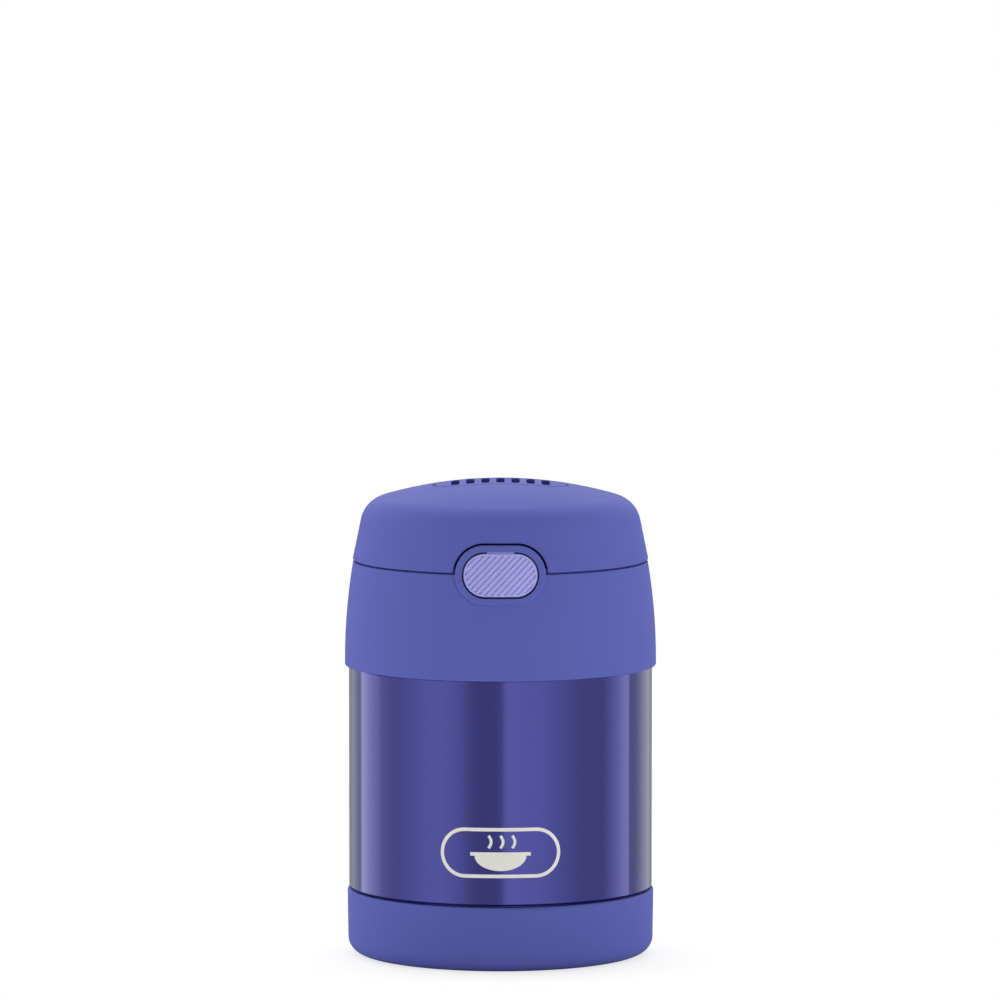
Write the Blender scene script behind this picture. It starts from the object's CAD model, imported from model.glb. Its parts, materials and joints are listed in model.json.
"""Looks of the insulated food jar: finishes, printed marks, studio and camera.

Metres. The button faces -Y and the jar stands on z = 0.
"""

import json
import math

import bmesh
import bpy
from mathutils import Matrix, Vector


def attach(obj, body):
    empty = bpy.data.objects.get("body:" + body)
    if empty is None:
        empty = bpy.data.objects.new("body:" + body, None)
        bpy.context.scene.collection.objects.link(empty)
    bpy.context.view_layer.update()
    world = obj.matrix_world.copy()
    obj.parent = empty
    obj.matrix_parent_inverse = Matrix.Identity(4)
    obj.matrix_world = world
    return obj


MM = 0.001
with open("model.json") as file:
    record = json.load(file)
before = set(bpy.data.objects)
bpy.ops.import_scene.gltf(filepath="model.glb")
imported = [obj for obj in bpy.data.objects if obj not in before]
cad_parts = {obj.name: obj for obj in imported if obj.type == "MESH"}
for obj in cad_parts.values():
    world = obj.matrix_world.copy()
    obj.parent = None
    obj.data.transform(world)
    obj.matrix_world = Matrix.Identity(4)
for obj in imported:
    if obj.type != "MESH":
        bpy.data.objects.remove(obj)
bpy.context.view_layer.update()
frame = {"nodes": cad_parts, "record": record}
nodes = frame["nodes"]


# ---------------------------------------------------------------- node helpers
NUMBER = "NodeSocketFloat"
COLOUR = "NodeSocketColor"


def link(tree, output, target):
    """Joins an output to an input socket."""
    tree.links.new(output, target)


def feed(tree, operand, socket):
    """Sets a socket to a number, or joins another node's output to it."""
    if isinstance(operand, (int, float)):
        socket.default_value = operand
    else:
        link(tree, operand, socket)


def add_node(tree, kind, **settings):
    """Adds a shader node and sets its plain properties."""
    node = tree.nodes.new(kind)
    for name, value in settings.items():
        setattr(node, name, value)
    return node


def math_node(tree, operation, first, second=None):
    """A Math node; each operand is a number or another node's output."""
    node = add_node(tree, "ShaderNodeMath", operation=operation)
    for socket, operand in zip(node.inputs, (first, second)):
        if operand is not None:
            feed(tree, operand, socket)
    return node.outputs[0]


def add(tree, first, second):
    """The sum of two values."""
    return math_node(tree, "ADD", first, second)


def subtract(tree, first, second):
    """The first value less the second."""
    return math_node(tree, "SUBTRACT", first, second)


def multiply(tree, first, second):
    """The product of two values."""
    return math_node(tree, "MULTIPLY", first, second)


def remap(tree, value, low, high, to_low, to_high, smooth=False):
    """Maps a value from one range to another."""
    node = add_node(tree, "ShaderNodeMapRange")
    node.interpolation_type = "SMOOTHSTEP" if smooth else "LINEAR"
    link(tree, value, node.inputs["Value"])
    feed(tree, low, node.inputs["From Min"])
    feed(tree, high, node.inputs["From Max"])
    feed(tree, to_low, node.inputs["To Min"])
    feed(tree, to_high, node.inputs["To Max"])
    return node.outputs["Result"]


def blend_values(tree, factor, first, second):
    """Goes from the first value to the second as the factor goes from 0 to 1."""
    return remap(tree, factor, 0.0, 1.0, first, second)


def along(tree, direction, way):
    """How far a direction points the given way: 1 straight along it, 0 square to it."""
    node = add_node(tree, "ShaderNodeVectorMath", operation="DOT_PRODUCT")
    link(tree, direction, node.inputs[0])
    node.inputs[1].default_value = way
    return node.outputs["Value"]


def new_group(name, inputs, outputs):
    """An empty shader group with the given sockets, its input and its output node."""
    group = bpy.data.node_groups.new(name, "ShaderNodeTree")
    for label, kind, value in inputs:
        socket = group.interface.new_socket(label, in_out="INPUT", socket_type=kind)
        socket.default_value = value
    for label, kind in outputs:
        group.interface.new_socket(label, in_out="OUTPUT", socket_type=kind)
    return group, add_node(group, "NodeGroupInput"), add_node(group, "NodeGroupOutput")


def place_group(tree, group, **values):
    """Puts a group in a material, with its plain inputs set."""
    node = add_node(tree, "ShaderNodeGroup", node_tree=group)
    for name, value in values.items():
        node.inputs[name].default_value = value
    return node


def millimetre_coordinates(tree):
    """Object coordinates in millimetres."""
    place = add_node(tree, "ShaderNodeTexCoord")
    scale = add_node(tree, "ShaderNodeVectorMath", operation="SCALE")
    link(tree, place.outputs["Object"], scale.inputs[0])
    scale.inputs["Scale"].default_value = 1 / MM
    return scale.outputs[0]


def noise(tree, vector, scale, detail=2.0, harshness=0.5):
    """Noise with features about 1 / scale millimetres across."""
    node = add_node(tree, "ShaderNodeTexNoise")
    node.inputs["Scale"].default_value = scale
    node.inputs["Detail"].default_value = detail
    node.inputs["Roughness"].default_value = harshness
    link(tree, vector, node.inputs["Vector"])
    return node.outputs["Fac"]


# ---------------------------------------------------------------- shared effects
# Scales are in features per millimetre. A pair is where a mask starts and where it is full.
NOISE_MEAN = 0.5

GRAIN_SCALE = 5.5
GRAIN_DETAIL = 3.0
GRAIN_HARSHNESS = 0.65
GRAIN_BROAD_SCALE = 0.09
GRAIN_FINE_SHARE = 0.5  # of the fine grain in the roughness, beside all of the broad
GRAIN_MEAN = 0.75  # of the two together

DRIFT_SCALE = 0.035
SPECKLE_SCALE = 4.2
SPECKLE_HARSHNESS = 0.7

RUB_EDGE = (0.52, 0.62)  # how convex an edge is, 0.5 being flat
RUB_PATCH_SCALE = 0.6
RUB_PATCH_DETAIL = 3.0
RUB_PATCH = (0.35, 0.65)
RUB_LEAST = 0.2  # what is left of the rub between patches

LINE_DETAIL = 4.0
LINE_HARSHNESS = 0.6

SMEAR_SCALE = 0.06
SMEAR_DETAIL = 4.0
SMEAR_HARSHNESS = 0.6
SMEAR_PATCH = (0.45, 0.75)
DUST_SCALE = 1.8
DUST_PATCH = (0.62, 0.8)
DUST_WEIGHT = 0.6


def make_spark_grain():
    """Fine spark-eroded texture of a moulding: a height, and a roughness that follows it."""
    group, given, out = new_group(
        "spark_grain",
        [("Roughness", NUMBER, 0.4), ("Spread", NUMBER, 0.06)],
        [("Height", NUMBER), ("Roughness", NUMBER)],
    )
    where = millimetre_coordinates(group)
    fine = noise(group, where, GRAIN_SCALE, GRAIN_DETAIL, GRAIN_HARSHNESS)
    broad = noise(group, where, GRAIN_BROAD_SCALE)
    link(group, fine, out.inputs["Height"])
    mixed = add(group, multiply(group, fine, GRAIN_FINE_SHARE), broad)
    swing = multiply(group, subtract(group, mixed, GRAIN_MEAN), given.outputs["Spread"])
    link(group, add(group, given.outputs["Roughness"], swing), out.inputs["Roughness"])
    return group


def make_tone_drift():
    """Slow drift and fine speckle in the colour of a surface."""
    group, given, out = new_group(
        "tone_drift",
        [
            ("Color", COLOUR, (0.5, 0.5, 0.5, 1)),
            ("Drift", NUMBER, 0.05),
            ("Speckle", NUMBER, 0.04),
        ],
        [("Color", COLOUR)],
    )
    where = millimetre_coordinates(group)
    slow = subtract(group, noise(group, where, DRIFT_SCALE), NOISE_MEAN)
    speckle = noise(group, where, SPECKLE_SCALE, harshness=SPECKLE_HARSHNESS)
    fine = subtract(group, speckle, NOISE_MEAN)
    gain = add(
        group,
        multiply(group, slow, given.outputs["Drift"]),
        multiply(group, fine, given.outputs["Speckle"]),
    )
    scale = add_node(group, "ShaderNodeVectorMath", operation="SCALE")
    link(group, given.outputs["Color"], scale.inputs[0])
    link(group, add(group, gain, 1.0), scale.inputs["Scale"])
    link(group, scale.outputs[0], out.inputs["Color"])
    return group


def make_edge_rub():
    """Mask of convex edges that handling has polished, broken up by noise."""
    group, given, out = new_group(
        "edge_rub",
        [("Amount", NUMBER, 1.0)],
        [("Mask", NUMBER)],
    )
    form = add_node(group, "ShaderNodeNewGeometry")
    edge = remap(group, form.outputs["Pointiness"], *RUB_EDGE, 0.0, 1.0, smooth=True)
    uneven = noise(group, millimetre_coordinates(group), RUB_PATCH_SCALE, RUB_PATCH_DETAIL)
    patch = remap(group, uneven, *RUB_PATCH, RUB_LEAST, 1.0)
    mask = multiply(group, multiply(group, edge, patch), given.outputs["Amount"])
    link(group, mask, out.inputs["Mask"])
    return group


def make_turned_lines():
    """Fine rings left by turning or spinning round the jar's axis."""
    group, given, out = new_group(
        "turned_lines",
        [("Pitch", NUMBER, 0.25)],
        [("Height", NUMBER)],
    )
    axes = add_node(group, "ShaderNodeSeparateXYZ")
    link(group, millimetre_coordinates(group), axes.inputs[0])
    x, y, z = axes.outputs["X"], axes.outputs["Y"], axes.outputs["Z"]
    squares = add(group, multiply(group, x, x), multiply(group, y, y))
    radius = math_node(group, "SQRT", squares)
    pitch = given.outputs["Pitch"]
    rings = add_node(group, "ShaderNodeCombineXYZ")
    link(group, math_node(group, "DIVIDE", radius, pitch), rings.inputs["X"])
    link(group, math_node(group, "DIVIDE", z, pitch), rings.inputs["Z"])
    lines = noise(group, rings.outputs[0], 1.0, LINE_DETAIL, LINE_HARSHNESS)
    link(group, lines, out.inputs["Height"])
    return group


def make_handling_marks():
    """Faint smears that dull a polished surface in patches."""
    group, given, out = new_group(
        "handling_marks",
        [("Roughness", NUMBER, 0.1), ("Spread", NUMBER, 0.05)],
        [("Roughness", NUMBER)],
    )
    where = millimetre_coordinates(group)
    broad = noise(group, where, SMEAR_SCALE, SMEAR_DETAIL, SMEAR_HARSHNESS)
    smear = remap(group, broad, *SMEAR_PATCH, 0.0, 1.0, smooth=True)
    dust = remap(group, noise(group, where, DUST_SCALE), *DUST_PATCH, 0.0, DUST_WEIGHT)
    swing = multiply(group, add(group, smear, dust), given.outputs["Spread"])
    link(group, add(group, given.outputs["Roughness"], swing), out.inputs["Roughness"])
    return group


spark_grain = make_spark_grain()
tone_drift = make_tone_drift()
edge_rub = make_edge_rub()
turned_lines = make_turned_lines()
handling_marks = make_handling_marks()


# ---------------------------------------------------------------- finishes
VIOLET = (0.091, 0.109, 0.376)
LILAC = (0.342, 0.331, 0.718)
PALE = (0.71, 0.71, 0.66)
NAVY = (0.012, 0.013, 0.075)
SILICONE_GREY = (0.62, 0.62, 0.6)
FOAM_CREAM = (0.8, 0.79, 0.74)

PLASTIC_DRIFT = 0.05
PLASTIC_SPREAD = 0.1  # of the roughness
METAL_DRIFT = 0.06
METAL_SPECKLE = 0.05
METAL_MARKS = 0.12  # added to the roughness where the metal is smeared

LACQUER_COLOUR = (0.04, 0.037, 0.32)
LACQUER_ROUGHNESS = 0.2
LACQUER_METAL = 0.96
LACQUER_FLAKES = 9.0  # per millimetre
LACQUER_FLAKE_TONES = (0.9, 1.1)
LACQUER_FLAKE_TILT = 0.0006  # millimetres
LACQUER_MARKS = 0.03
COAT_ROUGHNESS = 0.03
COAT_IOR = 1.6

# Colour, roughness, depth of the grain in millimetres, speckle, edge rub, gloss
PLASTICS = {
    "violet_plastic": (VIOLET, 0.5, 0.01, 0.05, 0.06, 0.03),
    "lilac_plastic": (LILAC, 0.34, 0.006, 0.03, 0.06, 0.5),
    "pale_plastic": (PALE, 0.45, 0.006, 0.03, 0.0, 0.5),
    "silicone": (SILICONE_GREY, 0.6, 0.004, 0.02, 0.0, 0.5),
    "foam": (FOAM_CREAM, 0.9, 0.12, 0.12, 0.0, 0.5),
    "navy_ink": (NAVY, 0.7, 0.004, 0.03, 0.0, 0.0),
}
# Colour, roughness, pitch and depth of the fine lines in millimetres
METALS = {
    "bare_steel": ((0.56, 0.55, 0.53), 0.24, 0.3, 0.0015),
    "getter_metal": ((0.32, 0.31, 0.3), 0.5, 0.4, 0.003),
    "solder": ((0.5, 0.5, 0.5), 0.38, 1.2, 0.004),
    "spring_steel": ((0.5, 0.49, 0.47), 0.22, 0.15, 0.001),
    "spoon_steel": ((0.63, 0.62, 0.6), 0.14, 0.5, 0.0008),
}


def new_finish(name):
    """A new material, its node tree and the inputs of its Principled shader."""
    finish = bpy.data.materials.new(name)
    finish.use_nodes = True
    tree = finish.node_tree
    return finish, tree, tree.nodes["Principled BSDF"].inputs


def bump(tree, height, depth, target):
    """Feeds a height of the given depth, in millimetres, to a Normal socket."""
    node = add_node(tree, "ShaderNodeBump")
    node.inputs["Strength"].default_value = 1.0
    node.inputs["Distance"].default_value = depth * MM
    link(tree, height, node.inputs["Height"])
    link(tree, node.outputs[0], target)


def moulded_plastic(name, colour, roughness, grain_depth, speckle, rub, gloss):
    """Spark-textured moulding; the inks are made this way too."""
    finish, tree, shader = new_finish(name)
    tint = place_group(tree, tone_drift, Color=(*colour, 1), Drift=PLASTIC_DRIFT, Speckle=speckle)
    grain = place_group(tree, spark_grain, Roughness=roughness, Spread=PLASTIC_SPREAD)
    worn = place_group(tree, edge_rub, Amount=rub)
    link(tree, tint.outputs["Color"], shader["Base Color"])
    polished = subtract(tree, grain.outputs["Roughness"], worn.outputs["Mask"])
    link(tree, polished, shader["Roughness"])
    shader["Specular IOR Level"].default_value = gloss
    bump(tree, grain.outputs["Height"], grain_depth, shader["Normal"])
    return finish


def plain_metal(name, colour, roughness, line_pitch, line_depth):
    """Bare metal with the fine lines of its making."""
    finish, tree, shader = new_finish(name)
    lines = place_group(tree, turned_lines, Pitch=line_pitch)
    tint = place_group(
        tree, tone_drift, Color=(*colour, 1), Drift=METAL_DRIFT, Speckle=METAL_SPECKLE
    )
    marks = place_group(tree, handling_marks, Roughness=roughness, Spread=METAL_MARKS)
    link(tree, tint.outputs["Color"], shader["Base Color"])
    shader["Metallic"].default_value = 1.0
    link(tree, marks.outputs["Roughness"], shader["Roughness"])
    bump(tree, lines.outputs["Height"], line_depth, shader["Normal"])
    return finish


def lacquered_metal(name):
    """Steel under a tinted metallic lacquer with a clear gloss coat."""
    finish, tree, shader = new_finish(name)
    flakes = add_node(tree, "ShaderNodeTexVoronoi")
    flakes.inputs["Scale"].default_value = LACQUER_FLAKES
    link(tree, millimetre_coordinates(tree), flakes.inputs["Vector"])
    pick = add_node(tree, "ShaderNodeSeparateColor")
    link(tree, flakes.outputs["Color"], pick.inputs[0])
    gain = remap(tree, pick.outputs["Red"], 0.0, 1.0, *LACQUER_FLAKE_TONES)
    tint = add_node(tree, "ShaderNodeVectorMath", operation="SCALE")
    tint.inputs[0].default_value = LACQUER_COLOUR
    link(tree, gain, tint.inputs["Scale"])
    link(tree, tint.outputs[0], shader["Base Color"])
    shader["Metallic"].default_value = LACQUER_METAL
    marks = place_group(tree, handling_marks, Roughness=LACQUER_ROUGHNESS, Spread=LACQUER_MARKS)
    link(tree, marks.outputs["Roughness"], shader["Roughness"])
    bump(tree, pick.outputs["Green"], LACQUER_FLAKE_TILT, shader["Normal"])
    shader["Coat Weight"].default_value = 1.0
    shader["Coat Roughness"].default_value = COAT_ROUGHNESS
    shader["Coat IOR"].default_value = COAT_IOR
    return finish


finishes = {name: moulded_plastic(name, *values) for name, values in PLASTICS.items()}
finishes |= {name: plain_metal(name, *values) for name, values in METALS.items()}
finishes["lacquered_steel"] = lacquered_metal("lacquered_steel")


def dress_nodes():
    """Gives every CAD node the finish of its record slot."""
    slots = {row["node"]: row["material_slot"] for row in frame["record"]["subparts"]}
    for name, node in nodes.items():
        for slot in node.material_slots:
            slot.material = finishes[slots[name]]


dress_nodes()


def new_object(name, mesh, finish):
    """Turns a mesh into an object of the scene, in one finish."""
    data = bpy.data.meshes.new(name)
    mesh.to_mesh(data)
    mesh.free()
    data.materials.append(finish)
    thing = bpy.data.objects.new(name, data)
    bpy.context.scene.collection.objects.link(thing)
    return thing


# ---------------------------------------------------------------- printed mark
# Millimetres and degrees
PRINT_RADIUS = 41.4  # the shell's outer face
PRINT_LIFT = 0.03
PRINT_HEIGHT_ON_JAR = 32.7
PRINT_WIDTH = 33.0
PRINT_TALL = 13.6
PRINT_LINE = 0.95
STROKE_STEP = 0.4
ARC_STEP = 6
BOWL_RADIUS = 7.0
BOWL_RIM = 1.2  # beyond the bowl on each side
BOWL_DEPTH = 4.1
BOWL_TOP = -0.3
BOWL_BANDS = 32
STEAM_PITCH = 3.2
STEAM_SWING = 0.7
STEAM_FOOT = 1.3
STEAM_TALL = 3.4
STEAM_LINE = 0.75
STEAM_STEPS = 12


def arc(centre_x, radius, start, end):
    """Points along an arc about a point at mid height."""
    count = (end - start) // ARC_STEP
    points = []
    for i in range(count + 1):
        angle = math.radians(start + (end - start) * i / count)
        points.append((centre_x + radius * math.cos(angle), radius * math.sin(angle)))
    return points


def stadium(width, tall):
    """Outline of a stadium centred on the drawing."""
    radius = tall / 2
    straight = width / 2 - radius
    return arc(straight, radius, -90, 90) + arc(-straight, radius, 90, 270)


def resample(points, closed):
    """The same line in short equal steps."""
    path = points + points[:1] if closed else points
    result = []
    for (ax, ay), (bx, by) in zip(path, path[1:]):
        count = max(1, int(math.hypot(bx - ax, by - ay) / STROKE_STEP))
        for i in range(count):
            result.append((ax + (bx - ax) * i / count, ay + (by - ay) * i / count))
    if not closed:
        result.append(path[-1])
    return result


def wrap(x, height, lift):
    """A point of the flat drawing laid on the shell's round front."""
    angle = x / PRINT_RADIUS
    radius = (PRINT_RADIUS + lift) * MM
    z = (PRINT_HEIGHT_ON_JAR + height) * MM
    return (radius * math.sin(angle), -radius * math.cos(angle), z)


def stroke(mesh, points, width, closed=False):
    """Adds a line of ink, a thin ribbon with upright sides."""
    path = resample(points, closed)
    count = len(path)
    rows = []
    for i, (x, y) in enumerate(path):
        before = path[i - 1] if i or closed else path[i]
        after = path[(i + 1) % count] if i + 1 < count or closed else path[i]
        dx, dy = after[0] - before[0], after[1] - before[1]
        length = math.hypot(dx, dy) or 1.0
        nx, ny = -dy / length * width / 2, dx / length * width / 2
        rows.append([
            mesh.verts.new(wrap(x + nx, y + ny, 0)),
            mesh.verts.new(wrap(x + nx, y + ny, PRINT_LIFT)),
            mesh.verts.new(wrap(x - nx, y - ny, PRINT_LIFT)),
            mesh.verts.new(wrap(x - nx, y - ny, 0)),
        ])
    last = count if closed else count - 1
    for i in range(last):
        here, there = rows[i], rows[(i + 1) % count]
        for side in range(3):
            mesh.faces.new((here[side], here[side + 1], there[side + 1], there[side]))
    if not closed:
        mesh.faces.new(rows[0])
        mesh.faces.new(rows[-1][::-1])


def fill_bowl(mesh):
    """Adds the bowl under its rim, half an ellipse of solid ink, as a strip of quads."""
    top = BOWL_TOP - PRINT_LINE / 2
    rows = []
    for i in range(1, BOWL_BANDS):
        angle = math.pi * i / BOWL_BANDS
        x, foot = -BOWL_RADIUS * math.cos(angle), top - BOWL_DEPTH * math.sin(angle)
        rows.append([mesh.verts.new(wrap(x, height, PRINT_LIFT)) for height in (top, foot)])
    for here, there in zip(rows, rows[1:]):
        mesh.faces.new((here[0], here[1], there[1], there[0]))


def wisp(middle):
    """Points up one wisp of steam."""
    points = []
    for i in range(STEAM_STEPS + 1):
        share = i / STEAM_STEPS
        swing = STEAM_SWING * math.sin(math.pi * share)
        points.append((middle + swing, STEAM_FOOT + STEAM_TALL * share))
    return points


def make_print():
    """A plain stadium round a bowl with three wisps of steam."""
    mesh = bmesh.new()
    outline = stadium(PRINT_WIDTH - PRINT_LINE, PRINT_TALL - PRINT_LINE)
    stroke(mesh, outline, PRINT_LINE, closed=True)
    rim = BOWL_RADIUS + BOWL_RIM
    stroke(mesh, [(-rim, BOWL_TOP), (rim, BOWL_TOP)], PRINT_LINE)
    fill_bowl(mesh)
    for middle in (-STEAM_PITCH, 0.0, STEAM_PITCH):
        stroke(mesh, wisp(middle), STEAM_LINE)
    mesh.normal_update()
    bmesh.ops.recalc_face_normals(mesh, faces=mesh.faces)
    piece = new_object("front_print", mesh, finishes["pale_plastic"])
    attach(piece, "jar")


make_print()


# ---------------------------------------------------------------- ink in the lid's emblem
# Millimetres, the same as the bars sunk in the dome
DOME_TOP = 129.8
DOME_RADIUS = 115.5
BAR_COUNT = 7
BAR_PITCH = 4.1
BAR_LENGTH = 12.2
BAR_WIDTH = 2.3
BAR_MIDDLE = -1.1
BAR_DEPTH = 0.4
BAR_MARGIN = 0.06
INK_LIFT = 0.03
INK_ROWS = 24
INK_COLUMNS = 6


def bar_floor_point(x, y):
    """A point of the ink on the floor of a sunk bar, which follows the dome."""
    radius = DOME_RADIUS - BAR_DEPTH + INK_LIFT
    height = DOME_TOP - DOME_RADIUS + math.sqrt(radius**2 - x**2 - y**2)
    return (x * MM, y * MM, height * MM)


def make_lid_ink():
    """Fills the floor of each sunk bar with dark ink."""
    mesh = bmesh.new()
    end_radius = BAR_WIDTH / 2 - BAR_MARGIN
    straight = BAR_LENGTH / 2 - BAR_WIDTH / 2
    for bar in range(BAR_COUNT):
        middle = (bar - (BAR_COUNT - 1) / 2) * BAR_PITCH
        previous = None
        for i in range(1, INK_ROWS):
            y = -math.cos(math.pi * i / INK_ROWS) * (straight + end_radius)
            past = max(0.0, abs(y) - straight)
            half_width = math.sqrt(max(end_radius**2 - past**2, 0.0))
            row = []
            for j in range(INK_COLUMNS + 1):
                x = middle + half_width * (2 * j / INK_COLUMNS - 1)
                row.append(mesh.verts.new(bar_floor_point(x, BAR_MIDDLE + y)))
            if previous:
                for j in range(INK_COLUMNS):
                    mesh.faces.new((previous[j], previous[j + 1], row[j + 1], row[j]))
            previous = row
    piece = new_object("lid_ink", mesh, finishes["navy_ink"])
    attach(piece, "lid")


make_lid_ink()


# ---------------------------------------------------------------- floor
FLOOR_SIDES = 48
FLOOR_RINGS = 40
FLOOR_FIRST_RADIUS = 0.02
FLOOR_GROWTH = 1.12  # from one ring to the next
FLOOR_COLOUR = (0.9, 0.9, 0.9)
FLOOR_ROUGHNESS = 0.9
FLOOR_NEAR_WHITE = 0.72  # how much plain white shows through at the jar
FLOOR_FADE = (0.04, 0.07)  # metres from the axis over which the rest goes white


def floor_finish():
    """White table top that takes a shadow near the jar and is plain white farther out."""
    finish, tree, shader = new_finish("floor_white")
    shader["Base Color"].default_value = (*FLOOR_COLOUR, 1)
    shader["Roughness"].default_value = FLOOR_ROUGHNESS
    shader["Specular IOR Level"].default_value = 0.0
    place = add_node(tree, "ShaderNodeTexCoord")
    reach = add_node(tree, "ShaderNodeVectorMath", operation="LENGTH")
    link(tree, place.outputs["Object"], reach.inputs[0])
    distance = reach.outputs["Value"]
    far = remap(tree, distance, *FLOOR_FADE, FLOOR_NEAR_WHITE, 1.0, smooth=True)
    rays = add_node(tree, "ShaderNodeLightPath")
    white = add_node(tree, "ShaderNodeEmission")
    blend = add_node(tree, "ShaderNodeMixShader")
    link(tree, multiply(tree, far, rays.outputs["Is Camera Ray"]), blend.inputs["Fac"])
    link(tree, tree.nodes["Principled BSDF"].outputs[0], blend.inputs[1])
    link(tree, white.outputs[0], blend.inputs[2])
    link(tree, blend.outputs[0], tree.nodes["Material Output"].inputs["Surface"])
    return finish


def make_floor():
    """Flat round table top, in rings that widen outward."""
    mesh = bmesh.new()
    centre = mesh.verts.new((0, 0, 0))
    previous = None
    for step in range(FLOOR_RINGS):
        radius = FLOOR_FIRST_RADIUS * FLOOR_GROWTH**step
        ring = []
        for i in range(FLOOR_SIDES):
            angle = 2 * math.pi * i / FLOOR_SIDES
            ring.append(mesh.verts.new((radius * math.cos(angle), radius * math.sin(angle), 0)))
        for i in range(FLOOR_SIDES):
            j = (i + 1) % FLOOR_SIDES
            if previous is None:
                mesh.faces.new((centre, ring[i], ring[j]))
            else:
                mesh.faces.new((previous[i], ring[i], ring[j], previous[j]))
        previous = ring
    floor = new_object("floor", mesh, floor_finish())
    floor.visible_glossy = False


make_floor()


# ---------------------------------------------------------------- light
# Strip lights and flags round the jar, by their bearing from the camera's side in degrees
# (negative to its left), each with how bright it looks in the gloss coat.
STUDIO_RING = (
    (-180, 0.2),  # dark cloth behind the jar
    (-158, 0.36),
    (-152, 0.53),
    (-145, 0.5),
    (-134, 0.34),
    (-131, 1.36),  # left strip light
    (-119, 1.08),
    (-107, 0.92),
    (-103, 0.68),  # left flag
    (-86, 0.56),
    (-62, 0.86),
    (-46, 0.95),
    (-33, 0.8),
    (-18, 0.42),  # narrow dark flag beside the lens
    (-2, 0.42),
    (1.5, 0.52),
    (3.5, 1.04),  # front fill
    (14, 1.0),
    (36, 0.86),
    (62, 0.52),  # right flag
    (84, 0.45),
    (97, 0.8),
    (109, 1.2),  # right strip light
    (114, 1.28),
    (116.5, 0.36),
    (126, 0.42),
    (138, 0.63),
    (155, 0.62),
    (160, 0.36),
    (180, 0.2),
)
# A level of 1 is plain white. A pair of heights or rears is the range over which one light
# gives way to the next, as sines above the table or toward the back.
BACKDROP_LEVEL = 1.9  # white wall behind, from the table up to the ceiling
BACKDROP_HEIGHT = (0.14, 0.27)
BACKDROP_REAR = (0.0, 0.6)
CEILING_LEVEL = 0.4
CEILING_HEIGHT = (0.5, 0.75)
SIDE_LIGHT = 0.91
BACK_LIGHT = 3.25  # extra from above and behind
BACK_LIGHT_WAY = (-0.15, 0.77, 0.62)
FRONT_TOP_WAY = (0.0, -0.5, 0.87)
FRONT_TOP_REACH = (0.2, 1.0)  # how far along that way the shade starts, and is full
FRONT_TOP_SHADE = 0.28  # the soft light left in that direction
LOW_BACK_LIGHT = 0.1  # soft light from low behind, so that the back isn't the brighter side
LOW_BACK_HEIGHT = (0.3, 0.7)
LOW_BACK_REAR = (0.2, 0.7)

LAMP_AIM = (0, 0, 0.06)
# Name, place, size and watts
LAMPS = (
    ("right_key", (1.1, -1.3, 0.6), 0.8, 6.0),
    ("left_side", (-1.3, 0.1, 0.4), 0.6, 1.6),
    ("right_side", (1.3, 0.1, 0.4), 0.6, 0.6),
)


def ring_light(tree, axes):
    """How bright the ring of lights and flags is at each bearing."""
    front = multiply(tree, axes.outputs["Y"], -1.0)
    bearing = math_node(tree, "ARCTAN2", axes.outputs["X"], front)
    ring = add_node(tree, "ShaderNodeValToRGB")
    link(tree, remap(tree, bearing, -math.pi, math.pi, 0.0, 1.0), ring.inputs["Fac"])
    stops = ring.color_ramp.elements
    stops.remove(stops[1])
    brightest = max(level for _, level in STUDIO_RING)
    for index, (degrees, level) in enumerate(STUDIO_RING):
        where = (degrees + 180) / 360
        stop = stops.new(where) if index else stops[0]
        stop.position = where
        shade = level / brightest
        stop.color = (shade, shade, shade, 1)
    return multiply(tree, ring.outputs["Color"], brightest)


def gloss_light(tree, axes):
    """What a glossy surface reflects: the ring, the wall behind it and a dim ceiling."""
    height, rear = axes.outputs["Z"], axes.outputs["Y"]
    above = remap(tree, height, *BACKDROP_HEIGHT, 0.0, 1.0, smooth=True)
    behind = remap(tree, rear, *BACKDROP_REAR, 0.0, 1.0, smooth=True)
    backdrop = multiply(tree, above, behind)
    wall = blend_values(tree, backdrop, ring_light(tree, axes), BACKDROP_LEVEL)
    ceiling = remap(tree, height, *CEILING_HEIGHT, 0.0, 1.0, smooth=True)
    return blend_values(tree, ceiling, wall, CEILING_LEVEL)


def soft_light(tree, direction, axes):
    """What lights a matte surface: even light, more from above and behind."""
    lit = along(tree, direction, BACK_LIGHT_WAY)
    soft = remap(tree, lit, 0.0, 1.0, SIDE_LIGHT, SIDE_LIGHT + BACK_LIGHT, smooth=True)
    overhead = along(tree, direction, FRONT_TOP_WAY)
    shade = remap(tree, overhead, *FRONT_TOP_REACH, 1.0, FRONT_TOP_SHADE, smooth=True)
    soft = multiply(tree, soft, shade)
    low = remap(tree, axes.outputs["Z"], *LOW_BACK_HEIGHT, 1.0, 0.0, smooth=True)
    rear = remap(tree, axes.outputs["Y"], *LOW_BACK_REAR, 0.0, 1.0, smooth=True)
    return blend_values(tree, multiply(tree, low, rear), soft, LOW_BACK_LIGHT)


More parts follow.
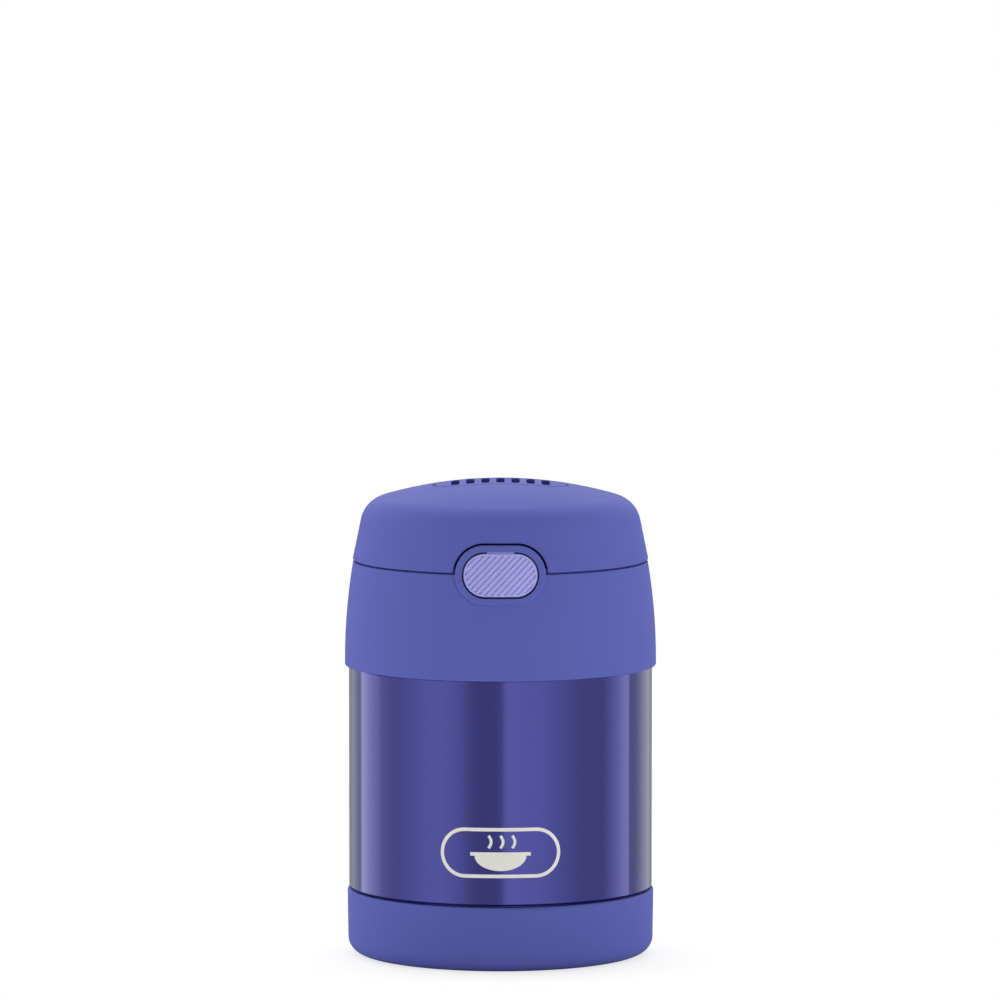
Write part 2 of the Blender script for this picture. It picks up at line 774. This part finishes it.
def make_world():
    """Studio: plain white to the camera, its lights in reflections, soft light elsewhere."""
    world = bpy.data.worlds.new("studio")
    bpy.context.scene.world = world
    world.use_nodes = True
    tree = world.node_tree
    tree.nodes.clear()
    place = add_node(tree, "ShaderNodeTexCoord")
    direction = place.outputs["Generated"]
    axes = add_node(tree, "ShaderNodeSeparateXYZ")
    link(tree, direction, axes.inputs[0])
    rays = add_node(tree, "ShaderNodeLightPath")
    glossy, camera, through = (
        rays.outputs[f"Is {kind} Ray"] for kind in ("Glossy", "Camera", "Transmission")
    )
    soft = soft_light(tree, direction, axes)
    level = blend_values(tree, glossy, soft, gloss_light(tree, axes))
    seen = math_node(tree, "MAXIMUM", camera, through)
    sky = add_node(tree, "ShaderNodeBackground")
    sky.inputs["Color"].default_value = (1, 1, 1, 1)
    link(tree, blend_values(tree, seen, level, 1.0), sky.inputs["Strength"])
    out = add_node(tree, "ShaderNodeOutputWorld")
    link(tree, sky.outputs[0], out.inputs["Surface"])


def make_lamp(name, place, size, watts):
    """A square soft lamp aimed at the jar, which reflections don't show."""
    lamp = bpy.data.lights.new(name, "AREA")
    lamp.energy = watts
    lamp.size = size
    holder = bpy.data.objects.new(name, lamp)
    holder.location = place
    aim = Vector(LAMP_AIM) - Vector(place)
    holder.rotation_euler = aim.to_track_quat("-Z", "Y").to_euler()
    holder.visible_glossy = False
    bpy.context.scene.collection.objects.link(holder)


make_world()
for lamp_row in LAMPS:
    make_lamp(*lamp_row)


# ---------------------------------------------------------------- camera
CAMERA_LENS = 294.6
CAMERA_SENSOR = 36.0
CAMERA_PLACE = (-0.00013, -2.222, 0.33345)
CAMERA_TILT = 5.382  # degrees below the horizon
CAMERA_NEAR = 0.05
CAMERA_FAR = 50


def make_camera():
    """Long lens, a little above the lid."""
    lens = bpy.data.cameras.new("camera")
    lens.lens = CAMERA_LENS
    lens.sensor_width = CAMERA_SENSOR
    lens.clip_start = CAMERA_NEAR
    lens.clip_end = CAMERA_FAR
    camera = bpy.data.objects.new("camera", lens)
    camera.location = CAMERA_PLACE
    camera.rotation_euler = (math.radians(90 - CAMERA_TILT), 0, 0)
    bpy.context.scene.collection.objects.link(camera)
    bpy.context.scene.camera = camera


make_camera()
bpy.context.scene.view_settings.view_transform = "Standard"
